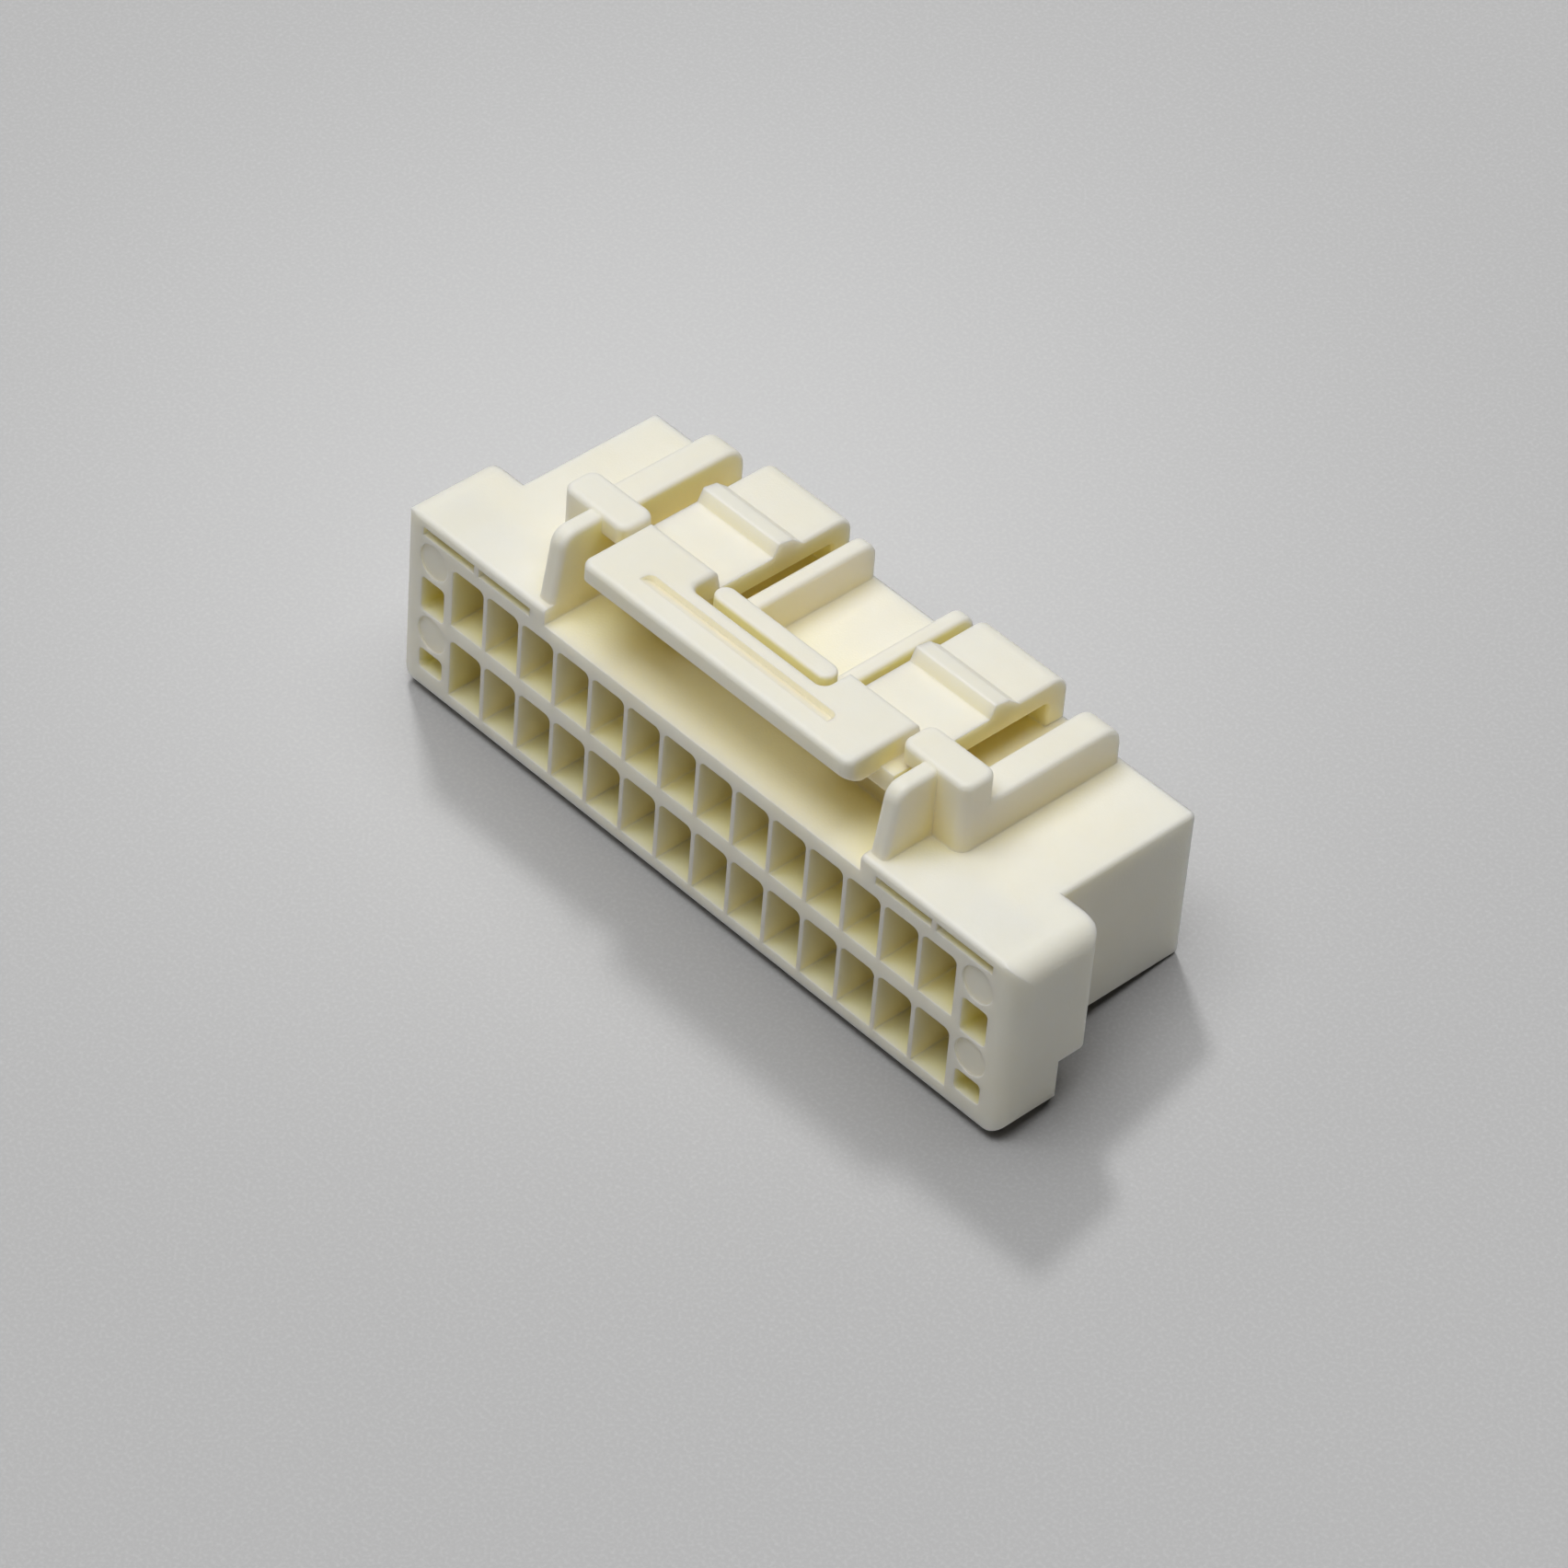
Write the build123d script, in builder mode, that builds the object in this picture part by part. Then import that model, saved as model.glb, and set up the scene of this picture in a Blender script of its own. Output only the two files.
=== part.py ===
import os

from build123d import *

# Empty two-row crimp housing for discrete wires, moulded in one piece.
# Wires enter at the front (-Y), the mating header at the back (+Y), the latch is on top (+Z).
# The origin is the middle of the footprint, on the level of the lowest face.

# Contact grid
pitch = 2.0
columns = 14
rows = 2
cavity_width = 1.8
cavity_height = 2.82
cavity_corner = 0.3
floor_wall = 0.55
row_wall = 0.73
entry_depth = 2.5

# Terminal chambers and pin holes behind the entries
chamber_width = 1.5
chamber_height = 1.5
chamber_step = 1.2
end_wall = 0.9
pin_hole = 0.9
pin_lead_in = 0.2

# Body behind the flange
depth = 11.1
side_wall = 0.83
heel_height = 1.26
body_edge = 0.2

# Flange round the wire entries
end_block = 2.95
flange_depth = 4.25
foot_depth = 3.0
foot_height = 2.45
roof_wall = 0.69
recess_drop = 0.74
recess_half = 8.7
recess_depth = 3.12
flange_round = 1.0
front_corner = 0.9
rear_corner = 0.5
front_edge = 0.2

# Small pockets and marks in the wire face
window_width = 1.33
window_depth = 2.4
window_corner = 0.2
upper_window_height = 1.66
upper_window_drop = 0.3
lower_window_height = 1.01
lower_window_sill = 0.85
slot_width = 2.95
slot_gap = 0.25
slot_height = 0.4
slot_roof = 0.45
mark_diameter = 1.6
mark_depth = 0.08
upper_mark_drop = 1.85
lower_mark_height = 2.85

# Latch arms
arm_inner = 3.72
arm_width = 4.26
arm_thickness = 0.98
arm_front = 2.1
slit_height = 1.2
root_length = 0.97
arm_round = 0.8
arm_edge = 0.15
slit_corner = 0.25

# Catch ridge across each arm, measured from the mating face
ridge_setback = 2.67
ridge_rise = 0.55
ridge_ramp = 0.28
ridge_top_length = 0.68
ridge_top_fall = 0.13
ridge_back_length = 0.5
ridge_edge = 0.1

# Thumb pad bridging the arms
pad_half = 7.3
pad_front = 0.37
pad_back = 3.92
pad_back_slope = 0.25
pad_rise = 1.07
pad_seat = 0.13
pad_corner = 0.45
pad_edge = 0.25
lip_height = 0.82
lip_length = 0.73
notch_half = 3.6
notch_depth = 1.32
notch_corner = 0.4
groove_half = 5.1
groove_back = 1.95
groove_length = 0.6
groove_fall = 0.35
groove_corner = 0.3

# Curved fins beside the pad
fin_width = 0.82
fin_front = 0.37
fin_lean = 0.5
fin_height = 3.13
fin_round = 0.75
fin_edge = 0.25

# Guard rails, and the caps over the outer strips of the arms
rail_width = 1.51
rail_setback = 0.15
rail_height = 1.92
rail_round = 1.0
rail_edge = 0.2
cap_front = 2.75
cap_overhang = 1.2
cap_length = 1.65
cap_height = 3.25
cap_thickness = 0.88
cap_corner = 0.5
cap_edge = 0.25

# Middle guide: an upright wall in the pad's notch, and two inner rails behind it
stop_half = 3.17
stop_thickness = 0.92
stop_height = 2.95
stop_edge = 0.15
guide_height = 1.79
guide_inner = 2.29
guide_width = 0.76
guide_round = 0.7
guide_edge = 0.2

# Levels above the lowest face
row_pitch = cavity_height + row_wall
upper_floor = floor_wall + row_pitch
recess_floor = upper_floor + cavity_height + roof_wall
body_top = recess_floor + recess_drop
arm_bottom = body_top + slit_height
arm_top = arm_bottom + arm_thickness
pad_top = arm_top + pad_rise
pad_bottom = arm_top - pad_seat
cap_top = body_top + cap_height
cap_bottom = cap_top - cap_thickness
upper_window_sill = upper_floor - upper_window_drop

# Places along the length and the depth
grid_half = columns * pitch / 2
body_half = grid_half + side_wall
flange_half = grid_half + end_block
window_x = grid_half + pitch / 2
slot_outer = window_x + window_width / 2
rail_x = recess_half + fin_width
front = -depth / 2
back = depth / 2
stop_front = front + recess_depth
stop_middle = stop_front + stop_thickness / 2
cap_middle = front + cap_front + cap_length / 2
cap_width = cap_overhang + fin_width + rail_width
ridge_end = back - ridge_setback - ridge_back_length
ridge_crest = ridge_end - ridge_top_length
ridge_foot = ridge_crest - ridge_ramp
wire_face = Plane.XZ.offset(-front)
mating_face = Plane.XZ.offset(-back)


def plan_outline(half_length, plan_depth, front_radius, rear_radius):
    """Outline seen from above, from the wire face back, with its own front and rear corners."""
    with BuildSketch(mode=Mode.PRIVATE) as plan:
        with Locations((0, front + plan_depth / 2)):
            Rectangle(2 * half_length, plan_depth)
        fillet(plan.vertices().group_by(Axis.Y)[0], front_radius)
        fillet(plan.vertices().group_by(Axis.Y)[-1], rear_radius)
    return plan.sketch


with BuildPart() as flange:
    # The foot stops short of the upper part, and both have upright rounded corners.
    with BuildSketch(Plane.XY):
        add(plan_outline(flange_half, foot_depth, front_corner, rear_corner))
    extrude(amount=foot_height)
    with BuildSketch(Plane.XY.offset(foot_height)):
        add(plan_outline(flange_half, flange_depth, front_corner, rear_corner))
    extrude(amount=body_top - foot_height)
    # Seen from the wire side the ends are rounded as well.
    with BuildSketch(Plane.XZ):
        with Locations((0, body_top / 2)):
            RectangleRounded(2 * flange_half, body_top, flange_round)
    extrude(amount=depth, both=True, mode=Mode.INTERSECT)
    # Seen from the end the top edge over the wire face is just softened.
    with BuildSketch(Plane.YZ) as end_view:
        with Locations((0, body_top / 2)):
            Rectangle(depth, body_top)
        fillet(end_view.vertices().sort_by_distance((front, body_top))[0], front_edge)
    extrude(amount=flange_half, both=True, mode=Mode.INTERSECT)


with BuildPart() as mating_body:
    with BuildSketch(mating_face):
        with Locations((0, (heel_height + body_top) / 2)):
            Rectangle(2 * body_half, body_top - heel_height)
    extrude(amount=depth - flange_depth / 2)
    fillet(mating_body.edges().filter_by(Axis.Y), body_edge)


with BuildPart() as latch_arms:
    # One arm from the side: free strip, catch ridge, and the root that stands on the body.
    with BuildSketch(Plane.YZ.offset(arm_inner)) as arm_side:
        with BuildLine():
            Polyline(
                (front + arm_front, arm_bottom),
                (front + arm_front, arm_top),
                (ridge_foot, arm_top),
                (ridge_crest, arm_top + ridge_rise),
                (ridge_end, arm_top + ridge_rise - ridge_top_fall),
                (ridge_end + ridge_back_length, arm_top),
                (back, arm_top),
                (back, body_top),
                (back - root_length, body_top),
                (back - root_length, arm_bottom),
                close=True,
            )
        make_face()
        fillet(arm_side.vertices().sort_by_distance((back, arm_top))[0], arm_round)
        fillet(arm_side.vertices().sort_by_distance((back - root_length, arm_bottom))[0], slit_corner)
        for ridge_corner in (
            (ridge_crest, arm_top + ridge_rise),
            (ridge_end, arm_top + ridge_rise - ridge_top_fall),
        ):
            fillet(arm_side.vertices().sort_by_distance(ridge_corner)[0], ridge_edge)
    extrude(amount=arm_width)
    # Behind the ridge the long edges are softened, over the top and down to the body.
    arm_rim = latch_arms.faces().filter_by(Axis.X).edges()
    fillet(arm_rim.filter_by_position(Axis.Y, ridge_end + ridge_back_length, back), arm_edge)
    mirror(about=Plane.YZ)


with BuildPart() as thumb_pad:
    # From the side: a thick lip in front and a sloping face behind.
    with BuildSketch(Plane.YZ):
        with BuildLine():
            Polyline(
                (front + pad_front, pad_top - lip_height),
                (front + pad_front, pad_top),
                (front + pad_back, pad_top),
                (front + pad_back + pad_back_slope, pad_bottom),
                (front + pad_front + lip_length, pad_bottom),
                close=True,
            )
        make_face()
    extrude(amount=pad_half, both=True)
    # From above: rounded front corners, and the notch that leaves room for the upright stop.
    with BuildSketch(Plane.XY.offset(pad_bottom)) as pad_plan:
        with Locations((0, front + pad_front)):
            Rectangle(2 * pad_half, depth, align=(Align.CENTER, Align.MIN))
        fillet(pad_plan.vertices().group_by(Axis.Y)[0], pad_corner)
        with Locations((0, front + pad_back - notch_depth)):
            RectangleRounded(
                2 * notch_half,
                2 * notch_depth,
                notch_corner,
                align=(Align.CENTER, Align.MIN),
                mode=Mode.SUBTRACT,
            )
    extrude(amount=pad_top - pad_bottom, mode=Mode.INTERSECT)
    fillet(thumb_pad.faces().sort_by(Axis.Z)[-1].edges(), pad_edge)


with BuildPart() as finger_groove:
    # The floor rises forward from the groove's upright back wall to the top of the pad.
    with BuildSketch(Plane.YZ):
        with BuildLine():
            Polyline(
                (front + groove_back, pad_top),
                (front + groove_back, pad_top - groove_fall),
                (front + groove_back - groove_length, pad_top),
                close=True,
            )
        make_face()
    extrude(amount=groove_half, both=True)
    # The back wall turns forward at both ends.
    with BuildSketch(Plane.XY.offset(pad_top)):
        with Locations((0, front + groove_back)):
            RectangleRounded(
                2 * groove_half,
                2 * groove_length,
                groove_corner,
                align=(Align.CENTER, Align.MAX),
            )
    extrude(amount=-groove_fall, mode=Mode.INTERSECT)


with BuildPart() as fins:
    with BuildSketch(Plane.YZ.offset(recess_half)) as fin_side:
        with BuildLine():
            Polyline(
                (front + fin_front, body_top),
                (front + fin_front + fin_lean, body_top + fin_height),
                (cap_middle, body_top + fin_height),
                (cap_middle, body_top),
                close=True,
            )
        make_face()
        fillet(fin_side.vertices().group_by(Axis.Y)[1], fin_round)
    extrude(amount=fin_width)
    # The long edges are rounded from the foot, over the top, to the cap.
    fin_rim = fins.faces().filter_by(Axis.X).edges()
    fillet(fin_rim - fin_rim.group_by(Axis.Z)[0] - fin_rim.group_by(Axis.Y)[-1], fin_edge)
    mirror(about=Plane.YZ)


with BuildPart() as rails:
    with BuildSketch(Plane.YZ.offset(rail_x)) as rail_side:
        with Locations((cap_middle, body_top)):
            Rectangle(back - rail_setback - cap_middle, rail_height, align=Align.MIN)
        fillet(rail_side.vertices().sort_by_distance((back, body_top + rail_height))[0], rail_round)
    extrude(amount=rail_width)
    rail_rim = rails.faces().filter_by(Axis.X).edges()
    fillet(rail_rim - rail_rim.group_by(Axis.Z)[0] - rail_rim.group_by(Axis.Y)[0], rail_edge)
    mirror(about=Plane.YZ)


with BuildPart() as caps:
    # A block over the fin and the rail with rounded upright corners, reaching inwards over the arm.
    with BuildSketch(Plane.XY.offset(body_top)):
        with Locations((recess_half - cap_overhang, cap_middle)):
            RectangleRounded(cap_width, cap_length, cap_corner, align=(Align.MIN, Align.CENTER))
    extrude(amount=cap_height)
    fillet(caps.faces().sort_by(Axis.Z)[-1].edges(), cap_edge)
    # Under the overhang the arm runs free.
    with BuildSketch(Plane.XY.offset(body_top)):
        with Locations((recess_half, cap_middle)):
            Rectangle(2 * cap_overhang, cap_length, align=(Align.MAX, Align.CENTER))
    extrude(amount=cap_bottom - body_top, mode=Mode.SUBTRACT)
    mirror(about=Plane.YZ)


with BuildPart() as stop_wall:
    with BuildSketch(Plane.XY.offset(recess_floor)):
        with Locations((0, stop_middle)):
            SlotOverall(2 * stop_half, stop_thickness)
    extrude(amount=body_top + stop_height - recess_floor)
    fillet(stop_wall.faces().sort_by(Axis.Z)[-1].edges(), stop_edge)


with BuildPart() as inner_rails:
    with BuildSketch(Plane.YZ.offset(guide_inner)) as guide_side:
        with Locations((stop_middle, body_top)):
            Rectangle(back - stop_middle, guide_height, align=Align.MIN)
        fillet(guide_side.vertices().sort_by_distance((back, body_top + guide_height))[0], guide_round)
    extrude(amount=guide_width)
    guide_rim = inner_rails.faces().filter_by(Axis.X).edges()
    fillet(guide_rim - guide_rim.group_by(Axis.Z)[0] - guide_rim.group_by(Axis.Y)[0], guide_edge)
    mirror(about=Plane.YZ)


with BuildPart() as wire_entries:
    with BuildSketch(mode=Mode.PRIVATE) as entry_outline:
        Rectangle(cavity_width, cavity_height, align=(Align.CENTER, Align.MIN))
        fillet(entry_outline.vertices().group_by(Axis.Y)[-1], cavity_corner)
    with BuildSketch(wire_face):
        with Locations((0, floor_wall + row_pitch / 2)):
            with GridLocations(pitch, row_pitch, columns, rows):
                add(entry_outline.sketch)
    extrude(amount=-entry_depth)
    with BuildSketch(wire_face):
        with Locations((0, floor_wall + chamber_step + (row_pitch + chamber_height) / 2)):
            with GridLocations(pitch, row_pitch, columns, rows):
                Rectangle(chamber_width, chamber_height)
    extrude(amount=-(depth - end_wall))
    # Square pin holes through the end wall, each with a chamfered lead-in.
    with BuildSketch(mating_face):
        with Locations((0, floor_wall + chamber_step + (row_pitch + chamber_height) / 2)):
            with GridLocations(pitch, row_pitch, columns, rows):
                Rectangle(pin_hole, pin_hole)
    extrude(amount=2 * end_wall)
    with BuildSketch(mating_face):
        with Locations((0, floor_wall + chamber_step + (row_pitch + chamber_height) / 2)):
            with GridLocations(pitch, row_pitch, columns, rows):
                Rectangle(pin_hole + 2 * pin_lead_in, pin_hole + 2 * pin_lead_in)
    extrude(amount=pin_lead_in, taper=45)


with BuildPart() as face_pockets:
    with BuildSketch(wire_face):
        for side in (-1, 1):
            with Locations((side * window_x, upper_window_sill + upper_window_height / 2)):
                RectangleRounded(window_width, upper_window_height, window_corner)
            with Locations((side * window_x, lower_window_sill + lower_window_height / 2)):
                RectangleRounded(window_width, lower_window_height, window_corner)
            for slot_x in (slot_outer - slot_width / 2, slot_outer - 1.5 * slot_width - slot_gap):
                with Locations((side * slot_x, body_top - slot_roof - slot_height / 2)):
                    Rectangle(slot_width, slot_height)
    extrude(amount=-window_depth)
    with BuildSketch(wire_face):
        for mark_height in (body_top - upper_mark_drop, lower_mark_height):
            with Locations((-window_x, mark_height), (window_x, mark_height)):
                Circle(mark_diameter / 2)
    extrude(amount=-mark_depth)


with BuildPart() as housing:
    add(flange.part)
    add(mating_body.part)
    # The step down in front of and under the thumb pad.
    with BuildSketch(wire_face):
        with Locations((0, (recess_floor + body_top) / 2)):
            Rectangle(2 * recess_half, recess_drop)
    extrude(amount=-recess_depth, mode=Mode.SUBTRACT)
    add(latch_arms.part)
    add(thumb_pad.part)
    add(finger_groove.part, mode=Mode.SUBTRACT)
    add(fins.part)
    add(rails.part)
    add(caps.part)
    add(stop_wall.part)
    add(inner_rails.part)
    add(wire_entries.part, mode=Mode.SUBTRACT)
    add(face_pockets.part, mode=Mode.SUBTRACT)

housing.part.label = "housing"
os.makedirs("parts", exist_ok=True)
export_step(housing.part, "parts/housing.step")
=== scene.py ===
"""Finishes a moulded connector housing in natural nylon and sets it on a grey table in a studio."""

import math

import bpy
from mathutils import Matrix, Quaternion, Vector


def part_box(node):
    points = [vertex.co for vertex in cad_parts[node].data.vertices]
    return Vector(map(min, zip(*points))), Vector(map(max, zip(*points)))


bl_info = {
    "name": "Connector Housing Studio",
    "version": (1, 0, 0),
    "blender": (4, 5, 0),
    "location": "View3D > Sidebar > Connector",
    "description": "Natural nylon finish, table, lamps and camera for a crimp connector housing",
    "category": "Object",
}

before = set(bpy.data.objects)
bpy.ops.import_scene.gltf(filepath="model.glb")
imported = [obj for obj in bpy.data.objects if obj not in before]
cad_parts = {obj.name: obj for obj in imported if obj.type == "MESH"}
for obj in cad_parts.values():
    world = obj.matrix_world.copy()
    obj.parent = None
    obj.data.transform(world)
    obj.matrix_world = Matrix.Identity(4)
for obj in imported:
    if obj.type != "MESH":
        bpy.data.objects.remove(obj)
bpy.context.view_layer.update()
MM = 0.001

# Range of the cloud noise over which ivory turns into the warm patches.
CLEAR_CLOUD, FULL_CLOUD = 0.35, 0.68
# Share of open air round a point at which it counts as free, and as hemmed in, for the painted warm
# shade in hollows.
FREE_AIR, HEMMED_IN = 0.78, 0.2
# The same close by, where a point lies in a shallow groove, which gets no painted shade, and where
# it doesn't.
IN_GROOVE, OUT_OF_GROOVE = 0.2, 0.7
# Cosine between softened and flat normal where the painted edge highlight is full, and how strong
# it gets there.
HIGHLIGHT_TURN, HIGHLIGHT_SHARE = 0.8, 0.7
# Scorched grains: mean spacing, then core and rim as shares of it.
SCORCH_SPACING = 2.6 * MM
SCORCH_CORE, SCORCH_RIM = 0.012, 0.022
SINK_WIDTH = 1.6 * MM
POLISHED, DULL = 0.42, 0.56

# Middle of the painted pool of light on the table, and the laminate's grain.
PAINTED_POOL_CENTRE = (-16.4 * MM, 8.8 * MM, 0)
LAMINATE_GRAIN = 0.16 * MM
LAMINATE_RELIEF = 0.01 * MM
FLECK_START, FLECK_FULL, FLECK_SHARE = 0.45, 0.75, 0.1
RIM_STEPS = 96

# Each lamp: degrees from the wire face towards the right end, degrees up, and width in metres.
LAMP_DISTANCE = 0.9
OVERHEAD_PLACE = (-90, 85, 0.9)
OVER_WIRES_PLACE = (-20, 66, 0.6)
TABLE_SPOT_PLACE = (-120, 56, 0.09)
PALE_WALL = (0.5, 0.5, 0.505, 1)


class NylonFinish(bpy.types.PropertyGroup):
    """How the moulded nylon looks."""

    ivory: bpy.props.FloatVectorProperty(
        name="Ivory",
        description="Colour of the nylon, undyed",
        subtype="COLOR",
        size=4,
        min=0,
        max=1,
        default=(0.965, 0.893, 0.785, 1),
    )
    warm_patch: bpy.props.FloatVectorProperty(
        name="Warm patch",
        description="Slightly yellower tone where the melt cooled last",
        subtype="COLOR",
        size=4,
        min=0,
        max=1,
        default=(0.96, 0.88, 0.748, 1),
    )
    # Painted highlight: paler tone painted along the edges.
    painted_edge_highlight: bpy.props.FloatVectorProperty(
        name="Painted edge highlight",
        description="Painted highlight along the edges",
        subtype="COLOR",
        size=4,
        min=0,
        max=1,
        default=(0.972, 0.912, 0.825, 1),
    )
    # Painted shade: warm, deeper tone painted into hollows where walls hem a point in.
    painted_hollow_shade: bpy.props.FloatVectorProperty(
        name="Painted hollow shade",
        description="Honey tone that the plastic takes where it is hemmed in by walls",
        subtype="COLOR",
        size=4,
        min=0,
        max=1,
        default=(1.0, 0.86, 0.46, 1),
    )
    speck: bpy.props.FloatVectorProperty(
        name="Speck",
        description="Colour of the few scorched grains in the moulding",
        subtype="COLOR",
        size=4,
        min=0,
        max=1,
        default=(0.12, 0.085, 0.05, 1),
    )
    translucency: bpy.props.FloatProperty(
        name="Translucency",
        description="Share of light that travels inside the plastic",
        subtype="FACTOR",
        min=0,
        max=1,
        default=1.0,
    )
    light_depth: bpy.props.FloatProperty(
        name="Light depth",
        description="How far light travels inside the plastic at open faces",
        subtype="DISTANCE",
        unit="LENGTH",
        min=0,
        default=0.6 * MM,
    )
    wall_depth: bpy.props.FloatProperty(
        name="Wall depth",
        description="How far light travels through the thin walls round the hollows",
        subtype="DISTANCE",
        unit="LENGTH",
        min=0,
        default=1.2 * MM,
    )
    # Wall gap and groove depth set where the painted warm shade in hollows reaches.
    wall_gap: bpy.props.FloatProperty(
        name="Wall gap",
        description="Distance within which facing walls warm each other",
        subtype="DISTANCE",
        unit="LENGTH",
        min=0,
        default=4.2 * MM,
    )
    groove_depth: bpy.props.FloatProperty(
        name="Groove depth",
        description="Distance within which walls count as a shallow groove, which stays pale",
        subtype="DISTANCE",
        unit="LENGTH",
        min=0,
        default=0.5 * MM,
    )
    patch_size: bpy.props.FloatProperty(
        name="Patch size",
        description="Size of the cloudy patches",
        subtype="DISTANCE",
        unit="LENGTH",
        min=0.1 * MM,
        default=3.2 * MM,
    )
    grain_size: bpy.props.FloatProperty(
        name="Grain size",
        description="Size of the spark-eroded mould texture",
        subtype="DISTANCE",
        unit="LENGTH",
        min=0.01 * MM,
        default=0.11 * MM,
    )
    grain_depth: bpy.props.FloatProperty(
        name="Grain depth",
        description="Depth of the mould texture",
        subtype="DISTANCE",
        unit="LENGTH",
        min=0,
        default=0.008 * MM,
    )
    sink_depth: bpy.props.FloatProperty(
        name="Sink depth",
        description="Depth of the soft hollows left by shrinkage",
        subtype="DISTANCE",
        unit="LENGTH",
        min=0,
        default=0.02 * MM,
    )
    edge_radius: bpy.props.FloatProperty(
        name="Edge radius",
        description="Radius at which light catches the sharp edges",
        subtype="DISTANCE",
        unit="LENGTH",
        min=0,
        default=0.08 * MM,
    )


class TableTop(bpy.types.PropertyGroup):
    """The table, and how the housing leans back on it."""

    # Grey inside the painted pool of light.
    grey: bpy.props.FloatVectorProperty(
        name="Grey",
        description="Colour of the table in the middle",
        subtype="COLOR",
        size=4,
        min=0,
        max=1,
        default=(0.322, 0.322, 0.322, 1),
    )
    # Grey where the painted pool of light has faded.
    painted_dim_grey: bpy.props.FloatVectorProperty(
        name="Painted dim grey",
        description="Colour of the table away from the housing",
        subtype="COLOR",
        size=4,
        min=0,
        max=1,
        default=(0.253, 0.253, 0.253, 1),
    )
    fleck: bpy.props.FloatVectorProperty(
        name="Fleck",
        description="Colour of the pale flecks in the laminate",
        subtype="COLOR",
        size=4,
        min=0,
        max=1,
        default=(0.55, 0.55, 0.55, 1),
    )
    radius: bpy.props.FloatProperty(
        name="Radius",
        description="Radius of the table top",
        subtype="DISTANCE",
        unit="LENGTH",
        min=0.1,
        default=1.2,
    )
    # Reach of the painted pool of light.
    painted_pool_radius: bpy.props.FloatProperty(
        name="Pool radius",
        description="Distance over which the table darkens",
        subtype="DISTANCE",
        unit="LENGTH",
        min=0.01,
        default=0.044,
    )
    foot_depth: bpy.props.FloatProperty(
        name="Foot depth",
        description="Depth of the flange foot, whose rear edge carries the housing",
        subtype="DISTANCE",
        unit="LENGTH",
        default=3.0 * MM,
    )
    heel_height: bpy.props.FloatProperty(
        name="Heel height",
        description="Height of the rear bottom edge over the flange foot",
        subtype="DISTANCE",
        unit="LENGTH",
        default=1.26 * MM,
    )


class StudioLamps(bpy.types.PropertyGroup):
    """Power of each lamp and of the room."""

    overhead: bpy.props.FloatProperty(
        name="Overhead",
        description="Large softbox almost straight above",
        unit="POWER",
        min=0,
        default=6.15,
    )
    over_wires: bpy.props.FloatProperty(
        name="Over the wire face",
        description="Softbox high over the wire side",
        unit="POWER",
        min=0,
        default=2.85,
    )
    table_spot: bpy.props.FloatProperty(
        name="Table spot",
        description="Small lamp behind the left end that lights the table alone",
        unit="POWER",
        min=0,
        default=4.15,
    )
    room: bpy.props.FloatProperty(
        name="Room",
        description="Even light from the room",
        min=0,
        default=0.0,
    )


class ViewCamera(bpy.types.PropertyGroup):
    """Where the camera stands."""

    azimuth: bpy.props.FloatProperty(
        name="Azimuth",
        description="Turn round the housing from the wire face",
        subtype="ANGLE",
        unit="ROTATION",
        default=math.radians(44.0),
    )
    elevation: bpy.props.FloatProperty(
        name="Elevation",
        description="Height over the housing's own base plane",
        subtype="ANGLE",
        unit="ROTATION",
        default=math.radians(42.15),
    )
    roll: bpy.props.FloatProperty(
        name="Roll",
        description="Tilt of the picture",
        subtype="ANGLE",
        unit="ROTATION",
        default=math.radians(4.68),
    )
    distance: bpy.props.FloatProperty(
        name="Distance",
        description="Distance from the point looked at",
        subtype="DISTANCE",
        unit="LENGTH",
        default=267.16 * MM,
    )
    focus_point: bpy.props.FloatVectorProperty(
        name="Looked at",
        description="Point in the middle of the picture",
        subtype="XYZ",
        unit="LENGTH",
        default=(0, -0.876 * MM, 3.014 * MM),
    )
    focal_length: bpy.props.FloatProperty(
        name="Focal length",
        description="Focal length on a 36 mm sensor",
        unit="CAMERA",
        default=162.15,
    )


def add_node(tree, kind, label, column, row, inputs=None, **settings):
    """A labelled node with its settings and the values of its own sockets."""
    made = tree.nodes.new(kind)
    made.label = label
    made.location = (220 * column, -260 * row)
    for setting, value in settings.items():
        setattr(made, setting, value)
    for socket, value in (inputs or {}).items():
        made.inputs[socket].default_value = value
    return made


def empty_material(name):
    """A material whose node tree holds nothing yet."""
    material = bpy.data.materials.new(name)
    material.use_nodes = True
    material.node_tree.nodes.clear()
    return material


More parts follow.
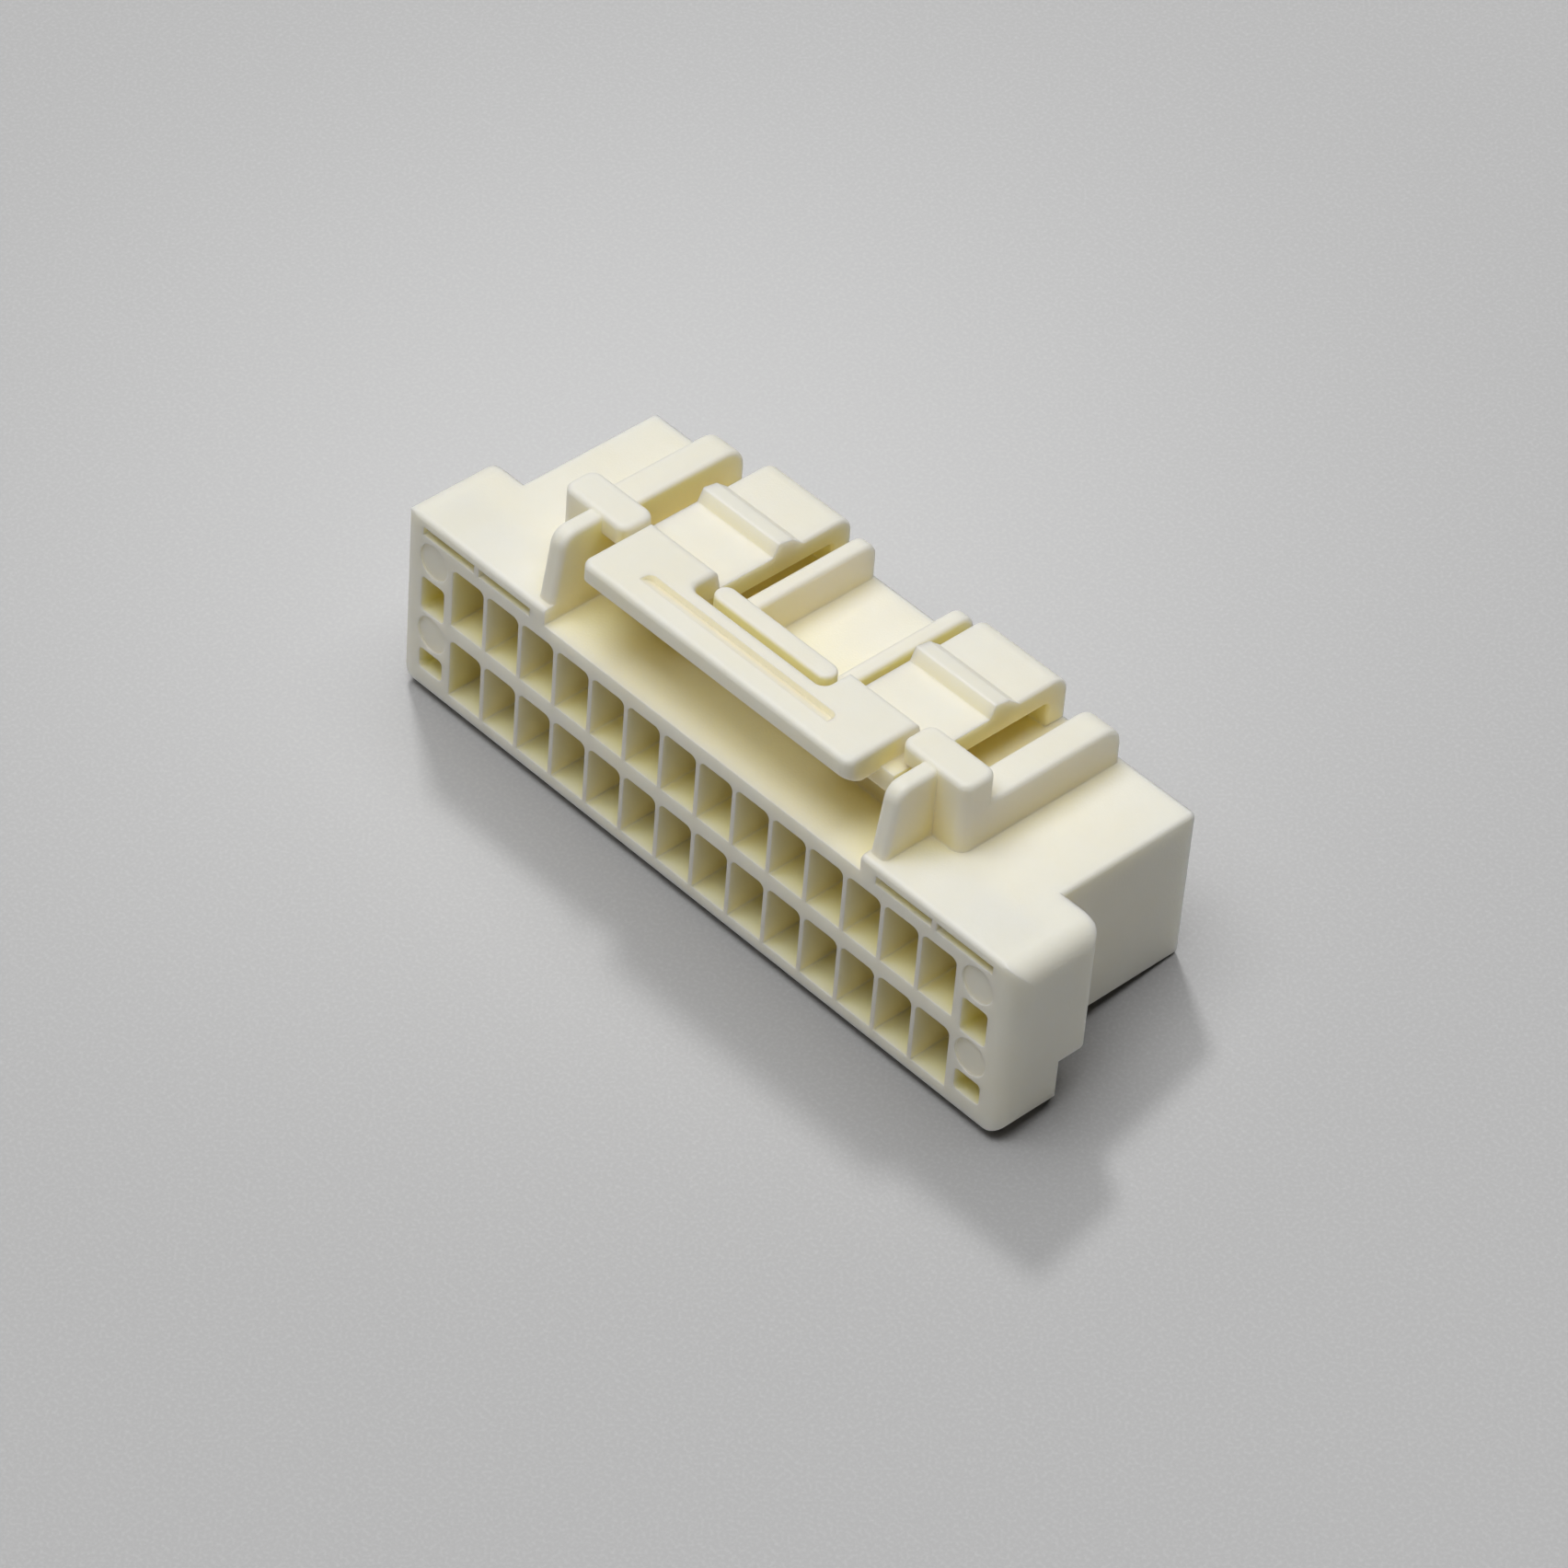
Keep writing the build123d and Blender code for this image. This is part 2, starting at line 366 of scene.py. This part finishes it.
def nylon_material(finish):
    """Natural nylon as moulded: cloudy ivory, fine grain, soft hollows, a few scorched grains."""
    material = empty_material("natural_nylon")
    tree = material.node_tree
    join = tree.links.new
    place = add_node(tree, "ShaderNodeTexCoord", "place", 0, 1)

    clouds = add_node(
        tree,
        "ShaderNodeTexNoise",
        "clouds",
        1,
        0,
        {"Scale": 1 / finish.patch_size, "Detail": 3.0, "Roughness": 0.55},
    )
    join(place.outputs["Object"], clouds.inputs["Vector"])
    cloud_range = add_node(
        tree,
        "ShaderNodeMapRange",
        "cloud range",
        2,
        0,
        {"From Min": CLEAR_CLOUD, "From Max": FULL_CLOUD},
    )
    join(clouds.outputs["Fac"], cloud_range.inputs["Value"])
    body_colour = add_node(tree, "ShaderNodeMix", "ivory and warm patches", 3, 0, data_type="RGBA")
    body_colour.inputs["A"].default_value = finish.ivory
    body_colour.inputs["B"].default_value = finish.warm_patch
    join(cloud_range.outputs["Result"], body_colour.inputs["Factor"])

    # Painted shade: a warmer, deeper tone is painted where walls hem a point in, standing in for
    # light that wanders between close walls and comes back warmer.
    hollow = add_node(
        tree,
        "ShaderNodeAmbientOcclusion",
        "hemmed in",
        2,
        2,
        {"Distance": finish.wall_gap},
        samples=4,
        only_local=True,
    )
    hollow_range = add_node(
        tree,
        "ShaderNodeMapRange",
        "hemmed-in range",
        3,
        1,
        {"From Min": FREE_AIR, "From Max": HEMMED_IN},
        interpolation_type="SMOOTHSTEP",
    )
    join(hollow.outputs["AO"], hollow_range.inputs["Value"])
    # A shallow groove is closed in at once on all sides and gets no painted shade, so it stays
    # pale.
    groove = add_node(
        tree,
        "ShaderNodeAmbientOcclusion",
        "in a shallow groove",
        2,
        4,
        {"Distance": finish.groove_depth},
        samples=4,
        only_local=True,
    )
    groove_range = add_node(
        tree,
        "ShaderNodeMapRange",
        "groove range",
        3,
        4,
        {"From Min": IN_GROOVE, "From Max": OUT_OF_GROOVE},
    )
    join(groove.outputs["AO"], groove_range.inputs["Value"])
    # Share of the painted warm shade at this point.
    painted_shade_share = add_node(tree, "ShaderNodeMath", "painted_shade_share", 4, 3, operation="MULTIPLY")
    join(hollow_range.outputs["Result"], painted_shade_share.inputs[0])
    join(groove_range.outputs["Result"], painted_shade_share.inputs[1])
    painted_shade_mix = add_node(tree, "ShaderNodeMix", "painted hollow shade", 4, 1, data_type="RGBA")
    painted_shade_mix.inputs["B"].default_value = finish.painted_hollow_shade
    join(painted_shade_share.outputs["Value"], painted_shade_mix.inputs["Factor"])
    join(body_colour.outputs["Result"], painted_shade_mix.inputs["A"])

    # A painted highlight goes on the edges, found where the softened normal leaves the flat one.
    soft_edge = add_node(
        tree, "ShaderNodeBevel", "softened edges", 1, 3, {"Radius": finish.edge_radius}, samples=4
    )
    flat = add_node(tree, "ShaderNodeNewGeometry", "flat faces", 1, 4)
    turn = add_node(
        tree, "ShaderNodeVectorMath", "turn of the surface", 2, 3, operation="DOT_PRODUCT"
    )
    join(soft_edge.outputs["Normal"], turn.inputs[0])
    join(flat.outputs["Normal"], turn.inputs[1])
    edge_range = add_node(
        tree,
        "ShaderNodeMapRange",
        "edge range",
        3,
        3,
        {"From Min": 1.0, "From Max": HIGHLIGHT_TURN, "To Min": 0.0, "To Max": HIGHLIGHT_SHARE},
    )
    join(turn.outputs["Value"], edge_range.inputs["Value"])
    highlight_mix = add_node(tree, "ShaderNodeMix", "painted edge highlight", 4, 0, data_type="RGBA")
    highlight_mix.inputs["B"].default_value = finish.painted_edge_highlight
    join(edge_range.outputs["Result"], highlight_mix.inputs["Factor"])
    join(painted_shade_mix.outputs["Result"], highlight_mix.inputs["A"])

    grains = add_node(
        tree,
        "ShaderNodeTexVoronoi",
        "scorched grains",
        1,
        1,
        {"Scale": 1 / SCORCH_SPACING, "Randomness": 1.0},
    )
    join(place.outputs["Object"], grains.inputs["Vector"])
    grain_range = add_node(
        tree,
        "ShaderNodeMapRange",
        "grain range",
        2,
        1,
        {"From Min": SCORCH_RIM, "From Max": SCORCH_CORE},
    )
    join(grains.outputs["Distance"], grain_range.inputs["Value"])
    speckled = add_node(
        tree, "ShaderNodeMix", "scorched grains in the body", 5, 0, data_type="RGBA"
    )
    speckled.inputs["B"].default_value = finish.speck
    join(grain_range.outputs["Result"], speckled.inputs["Factor"])
    join(highlight_mix.outputs["Result"], speckled.inputs["A"])

    # Light catches a fine mould grain that lies on soft hollows.
    hollows = add_node(
        tree,
        "ShaderNodeTexNoise",
        "hollows",
        1,
        5,
        {"Scale": 1 / SINK_WIDTH, "Detail": 1.0},
    )
    join(place.outputs["Object"], hollows.inputs["Vector"])
    mould_grain = add_node(
        tree,
        "ShaderNodeTexNoise",
        "mould grain",
        1,
        6,
        {"Scale": 1 / finish.grain_size, "Detail": 4.0, "Roughness": 0.6},
    )
    join(place.outputs["Object"], mould_grain.inputs["Vector"])
    hollow_bump = add_node(
        tree,
        "ShaderNodeBump",
        "hollow relief",
        4,
        4,
        {"Strength": 1.0, "Distance": finish.sink_depth},
    )
    join(hollows.outputs["Fac"], hollow_bump.inputs["Height"])
    join(soft_edge.outputs["Normal"], hollow_bump.inputs["Normal"])
    grain_bump = add_node(
        tree,
        "ShaderNodeBump",
        "grain relief",
        5,
        4,
        {"Strength": 1.0, "Distance": finish.grain_depth},
    )
    join(mould_grain.outputs["Fac"], grain_bump.inputs["Height"])
    join(hollow_bump.outputs["Normal"], grain_bump.inputs["Normal"])

    polish = add_node(
        tree, "ShaderNodeMapRange", "polish range", 3, 2, {"To Min": POLISHED, "To Max": DULL}
    )
    join(mould_grain.outputs["Fac"], polish.inputs["Value"])

    depth_range = add_node(
        tree,
        "ShaderNodeMapRange",
        "light depth range",
        4,
        2,
        {"To Min": finish.light_depth, "To Max": finish.wall_depth},
    )
    join(hollow_range.outputs["Result"], depth_range.inputs["Value"])

    plastic = add_node(
        tree,
        "ShaderNodeBsdfPrincipled",
        "plastic",
        6,
        1,
        {
            "IOR": 1.5,
            "Subsurface Weight": finish.translucency,
            "Subsurface Radius": (1.0, 0.97, 0.9),
            "Specular IOR Level": 0.4,
        },
        subsurface_method="RANDOM_WALK",
    )
    join(speckled.outputs["Result"], plastic.inputs["Base Color"])
    join(polish.outputs["Result"], plastic.inputs["Roughness"])
    join(depth_range.outputs["Result"], plastic.inputs["Subsurface Scale"])
    join(grain_bump.outputs["Normal"], plastic.inputs["Normal"])
    surface = add_node(tree, "ShaderNodeOutputMaterial", "surface", 7, 1)
    join(plastic.outputs["BSDF"], surface.inputs["Surface"])
    return material


def table_material(table):
    """Grey laminate with pale flecks and a painted pool of light, darker away from the housing."""
    material = empty_material("grey_laminate")
    tree = material.node_tree
    join = tree.links.new
    place = add_node(tree, "ShaderNodeTexCoord", "place", 0, 0)
    pool = add_node(
        tree,
        "ShaderNodeVectorMath",
        "distance from the bright spot",
        1,
        0,
        operation="DISTANCE",
    )
    pool.inputs[1].default_value = PAINTED_POOL_CENTRE
    join(place.outputs["Object"], pool.inputs[0])
    painted_falloff = add_node(
        tree,
        "ShaderNodeMapRange",
        "painted_falloff",
        2,
        0,
        {"From Min": 0.0, "From Max": table.painted_pool_radius},
        interpolation_type="SMOOTHSTEP",
    )
    join(pool.outputs["Value"], painted_falloff.inputs["Value"])
    # Painted light: the table is painted brighter round the housing and darker away from it.
    shade = add_node(tree, "ShaderNodeMix", "bright and far", 3, 0, data_type="RGBA")
    shade.inputs["A"].default_value = table.grey
    shade.inputs["B"].default_value = table.painted_dim_grey
    join(painted_falloff.outputs["Result"], shade.inputs["Factor"])
    grain = add_node(
        tree,
        "ShaderNodeTexNoise",
        "laminate grain",
        1,
        1,
        {"Scale": 1 / LAMINATE_GRAIN, "Detail": 2.0},
    )
    join(place.outputs["Object"], grain.inputs["Vector"])
    fleck_range = add_node(
        tree,
        "ShaderNodeMapRange",
        "fleck range",
        2,
        1,
        {"From Min": FLECK_START, "From Max": FLECK_FULL, "To Min": 0.0, "To Max": FLECK_SHARE},
    )
    join(grain.outputs["Fac"], fleck_range.inputs["Value"])
    flecked = add_node(tree, "ShaderNodeMix", "pale flecks", 4, 1, data_type="RGBA")
    flecked.inputs["B"].default_value = table.fleck
    join(fleck_range.outputs["Result"], flecked.inputs["Factor"])
    join(shade.outputs["Result"], flecked.inputs["A"])
    relief = add_node(
        tree,
        "ShaderNodeBump",
        "laminate relief",
        3,
        1,
        {"Strength": 0.6, "Distance": LAMINATE_RELIEF},
    )
    join(grain.outputs["Fac"], relief.inputs["Height"])
    laminate = add_node(
        tree,
        "ShaderNodeBsdfPrincipled",
        "laminate",
        4,
        0,
        {"Roughness": 0.62, "Specular IOR Level": 0.35},
    )
    join(flecked.outputs["Result"], laminate.inputs["Base Color"])
    join(relief.outputs["Normal"], laminate.inputs["Normal"])
    surface = add_node(tree, "ShaderNodeOutputMaterial", "surface", 5, 0)
    join(laminate.outputs["BSDF"], surface.inputs["Surface"])
    return material


def direction(azimuth, elevation):
    """Unit vector from the housing, turned from the wire face towards the right end, in degrees."""
    turn, rise = math.radians(azimuth), math.radians(elevation)
    return Vector(
        (math.sin(turn) * math.cos(rise), -math.cos(turn) * math.cos(rise), math.sin(rise))
    )


def softbox(name, place, power):
    """A square lamp that faces the housing and isn't seen itself."""
    azimuth, elevation, width = place
    lamp = bpy.data.lights.new(name, "AREA")
    lamp.shape = "SQUARE"
    lamp.size = width
    lamp.energy = power
    holder = bpy.data.objects.new(name, lamp)
    towards = direction(azimuth, elevation)
    holder.location = towards * LAMP_DISTANCE
    holder.rotation_mode = "QUATERNION"
    holder.rotation_quaternion = (-towards).to_track_quat("-Z", "Y")
    holder.visible_camera = False
    bpy.context.collection.objects.link(holder)
    return holder


class CONNECTOR_OT_finish_housing(bpy.types.Operator):
    """Give the moulded housing its natural nylon finish"""

    bl_idname = "connector.finish_housing"
    bl_label = "Finish Housing"

    def execute(self, context):
        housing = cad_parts["housing"]
        nylon = nylon_material(context.scene.connector_nylon)
        if not housing.material_slots:
            raise RuntimeError("the housing has no material slot")
        for place in housing.material_slots:
            place.material = nylon
        return {"FINISHED"}


class CONNECTOR_OT_lay_table(bpy.types.Operator):
    """Lay the table under the two edges that the housing rests on"""

    bl_idname = "connector.lay_table"
    bl_label = "Lay Table"

    def execute(self, context):
        table = context.scene.connector_table
        low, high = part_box("housing")
        depth = high[1] - low[1]
        lean = math.atan2(table.heel_height, depth - table.foot_depth)
        rim = [
            (table.radius * math.cos(turn), table.radius * math.sin(turn), 0)
            for turn in (2 * math.pi * step / RIM_STEPS for step in range(RIM_STEPS))
        ]
        sheet = bpy.data.meshes.new("table_top")
        sheet.from_pydata(rim, [], [range(len(rim))])
        sheet.materials.append(table_material(table))
        top = bpy.data.objects.new("table_top", sheet)
        top.location = (0, low[1] + table.foot_depth, low[2])
        top.rotation_euler = (lean, 0, 0)
        context.collection.objects.link(top)
        return {"FINISHED"}


class CONNECTOR_OT_hang_lamps(bpy.types.Operator):
    """Hang the studio lamps and set the light of the room"""

    bl_idname = "connector.hang_lamps"
    bl_label = "Hang Lamps"

    def execute(self, context):
        lamps = context.scene.connector_lamps
        softbox("lamp_overhead", OVERHEAD_PLACE, lamps.overhead)
        softbox("lamp_over_wires", OVER_WIRES_PLACE, lamps.over_wires)
        table_spot = softbox("lamp_table_spot", TABLE_SPOT_PLACE, lamps.table_spot)
        lit_by_spot = bpy.data.collections.new("lit_by_table_spot")
        lit_by_spot.objects.link(bpy.data.objects["table_top"])
        table_spot.light_linking.receiver_collection = lit_by_spot
        world = bpy.data.worlds.new("room")
        context.scene.world = world
        world.use_nodes = True
        tree = world.node_tree
        tree.nodes.clear()
        join = tree.links.new
        ray = add_node(tree, "ShaderNodeLightPath", "kind of ray", 0, 0)
        seen_or_shine = add_node(
            tree, "ShaderNodeMath", "seen or reflected", 1, 2, operation="MAXIMUM"
        )
        shows_wall = add_node(tree, "ShaderNodeMath", "or seen through", 1, 3, operation="MAXIMUM")
        room = add_node(
            tree, "ShaderNodeBackground", "room light", 1, 0, {"Strength": lamps.room}
        )
        wall = add_node(
            tree,
            "ShaderNodeBackground",
            "pale wall",
            1,
            1,
            {"Color": PALE_WALL, "Strength": 1.0},
        )
        choice = add_node(tree, "ShaderNodeMixShader", "wall or room", 2, 0)
        out = add_node(tree, "ShaderNodeOutputWorld", "world", 3, 0)
        join(ray.outputs["Is Camera Ray"], seen_or_shine.inputs[0])
        join(ray.outputs["Is Glossy Ray"], seen_or_shine.inputs[1])
        join(seen_or_shine.outputs["Value"], shows_wall.inputs[0])
        join(ray.outputs["Is Transmission Ray"], shows_wall.inputs[1])
        join(shows_wall.outputs["Value"], choice.inputs["Fac"])
        join(room.outputs["Background"], choice.inputs[1])
        join(wall.outputs["Background"], choice.inputs[2])
        join(choice.outputs["Shader"], out.inputs["Surface"])
        return {"FINISHED"}


class CONNECTOR_OT_set_camera(bpy.types.Operator):
    """Stand the camera where the picture is taken from"""

    bl_idname = "connector.set_camera"
    bl_label = "Set Camera"

    def execute(self, context):
        settings = context.scene.connector_camera
        towards = direction(math.degrees(settings.azimuth), math.degrees(settings.elevation))
        lens = bpy.data.cameras.new("camera")
        lens.sensor_width = 36
        lens.lens = settings.focal_length
        lens.clip_start = 0.01
        lens.clip_end = 10
        camera = bpy.data.objects.new("camera", lens)
        camera.location = Vector(settings.focus_point) + towards * settings.distance
        camera.rotation_mode = "QUATERNION"
        upright = (-towards).to_track_quat("-Z", "Y")
        camera.rotation_quaternion = upright @ Quaternion((0, 0, 1), settings.roll)
        context.collection.objects.link(camera)
        context.scene.camera = camera
        context.scene.view_settings.view_transform = "Standard"
        return {"FINISHED"}


class CONNECTOR_PT_studio(bpy.types.Panel):
    """Sidebar panel with the steps in order"""

    bl_idname = "CONNECTOR_PT_studio"
    bl_label = "Connector Studio"
    bl_space_type = "VIEW_3D"
    bl_region_type = "UI"
    bl_category = "Connector"

    def draw(self, context):
        steps = (
            ("Nylon", context.scene.connector_nylon, CONNECTOR_OT_finish_housing),
            ("Table", context.scene.connector_table, CONNECTOR_OT_lay_table),
            ("Lamps", context.scene.connector_lamps, CONNECTOR_OT_hang_lamps),
            ("Camera", context.scene.connector_camera, CONNECTOR_OT_set_camera),
        )
        for title, settings, step in steps:
            box = self.layout.box()
            box.label(text=title)
            for setting in settings.bl_rna.properties:
                if not setting.is_readonly and setting.identifier != "name":
                    box.prop(settings, setting.identifier)
            box.operator(step.bl_idname)


CLASSES = (
    NylonFinish,
    TableTop,
    StudioLamps,
    ViewCamera,
    CONNECTOR_OT_finish_housing,
    CONNECTOR_OT_lay_table,
    CONNECTOR_OT_hang_lamps,
    CONNECTOR_OT_set_camera,
    CONNECTOR_PT_studio,
)


def register():
    for item in CLASSES:
        bpy.utils.register_class(item)
    bpy.types.Scene.connector_nylon = bpy.props.PointerProperty(type=NylonFinish)
    bpy.types.Scene.connector_table = bpy.props.PointerProperty(type=TableTop)
    bpy.types.Scene.connector_lamps = bpy.props.PointerProperty(type=StudioLamps)
    bpy.types.Scene.connector_camera = bpy.props.PointerProperty(type=ViewCamera)


def unregister():
    del bpy.types.Scene.connector_camera
    del bpy.types.Scene.connector_lamps
    del bpy.types.Scene.connector_table
    del bpy.types.Scene.connector_nylon
    for item in reversed(CLASSES):
        bpy.utils.unregister_class(item)


def main():
    register()
    bpy.ops.connector.finish_housing()
    bpy.ops.connector.lay_table()
    bpy.ops.connector.hang_lamps()
    bpy.ops.connector.set_camera()


if __name__ == "__main__":
    main()
